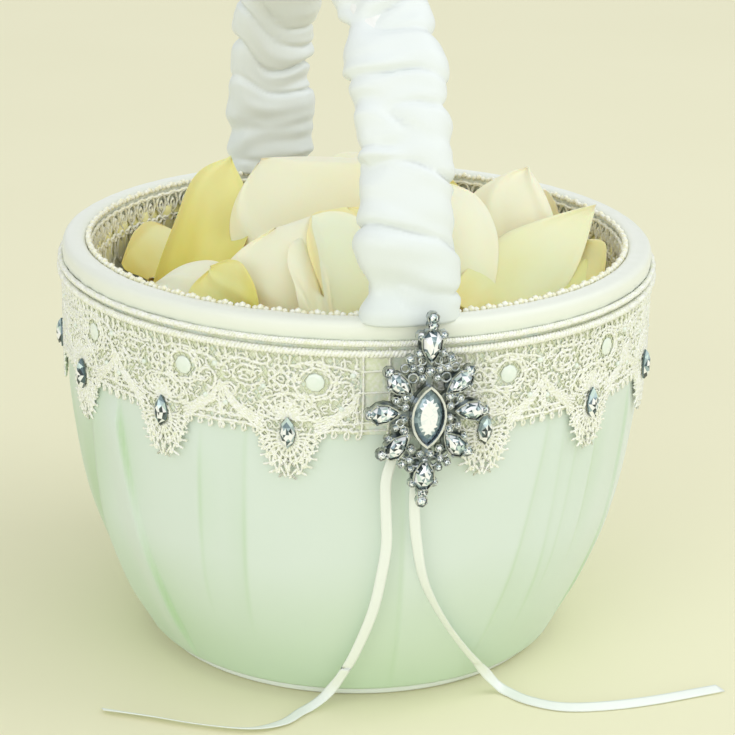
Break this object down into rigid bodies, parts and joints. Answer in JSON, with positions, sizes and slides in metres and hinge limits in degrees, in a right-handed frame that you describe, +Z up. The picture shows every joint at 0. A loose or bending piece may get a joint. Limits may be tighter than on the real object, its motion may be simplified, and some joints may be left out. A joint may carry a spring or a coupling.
{
  "type": "flower girl basket",
  "caption": "Round satin-covered basket with a padded hoop handle, rolled rim, lace and crystal trim, a jewelled brooch with ribbon tails, and loose petals inside.",
  "frame": {"origin": "centre of the base board's underside, where the basket stands", "axes": "+Z up through the bowl's axis to the handle's crown; the handle hoop stands in a plane parallel to YZ; the brooch and the handle's front foot face -Y; +X to the right as seen from the front"},
  "size_m": [0.1816, 0.1874, 0.2364],
  "materials": {
    "board_satin": "satin",
    "former_card": "matte",
    "cover_satin": "satin",
    "lining_satin": "satin",
    "rim_satin": "satin",
    "cotton_cord": "matte",
    "gimp_braid": "satin",
    "guipure_lace": "satin",
    "band_plastic": "matte",
    "batting": "matte",
    "handle_satin": "satin",
    "brooch_silver": "polished",
    "rhinestone": "polished",
    "pin_steel": "satin",
    "ribbon_satin": "satin",
    "petal_silk": "matte"
  },
  "bodies": {
    "basket": {"base_board": "board_satin", "bowl_shell": "former_card", "bowl_cover": "cover_satin", "bowl_lining": "lining_satin", "rim_roll": "rim_satin", "rim_filler_cord": "cotton_cord", "inner_gimp_braid": "gimp_braid", "lace_band": "guipure_lace", "lace_header_cord": "guipure_lace", "handle_band": "band_plastic", "handle_padding": "batting", "handle_sleeve": "handle_satin", "brooch_frame": "brooch_silver", "brooch_bezel": "brooch_silver", "brooch_centre_stone": "rhinestone", "brooch_pin_stem": "pin_steel", "brooch_pin_joint": "pin_steel", "brooch_pin_catch": "pin_steel", "ribbon_tail_left": "ribbon_satin", "ribbon_tail_right": "ribbon_satin", "lace_crystal_01": "rhinestone", "lace_crystal_02": "rhinestone", "lace_crystal_03": "rhinestone", "lace_crystal_04": "rhinestone", "lace_crystal_05": "rhinestone", "lace_crystal_06": "rhinestone", "lace_crystal_07": "rhinestone", "lace_crystal_08": "rhinestone", "lace_crystal_09": "rhinestone", "lace_crystal_10": "rhinestone", "lace_crystal_11": "rhinestone", "lace_crystal_12": "rhinestone", "lace_crystal_13": "rhinestone", "lace_crystal_14": "rhinestone", "brooch_pear_top": "rhinestone", "brooch_pear_upper_right": "rhinestone", "brooch_pear_right": "rhinestone", "brooch_pear_lower_right": "rhinestone", "brooch_pear_bottom": "rhinestone", "brooch_pear_lower_left": "rhinestone", "brooch_pear_left": "rhinestone", "brooch_pear_upper_left": "rhinestone", "handle_rivet_1": "pin_steel", "handle_rivet_2": "pin_steel", "handle_rivet_3": "pin_steel", "handle_rivet_4": "pin_steel"},
    "petals": {"petal_heap": "petal_silk"}
  },
  "joints": [
    {"name": "petals_lift", "type": "slide", "parent": "basket", "child": "petals", "axis": [0, 0, 1], "range_m": [0, 0.064]}
  ]
}
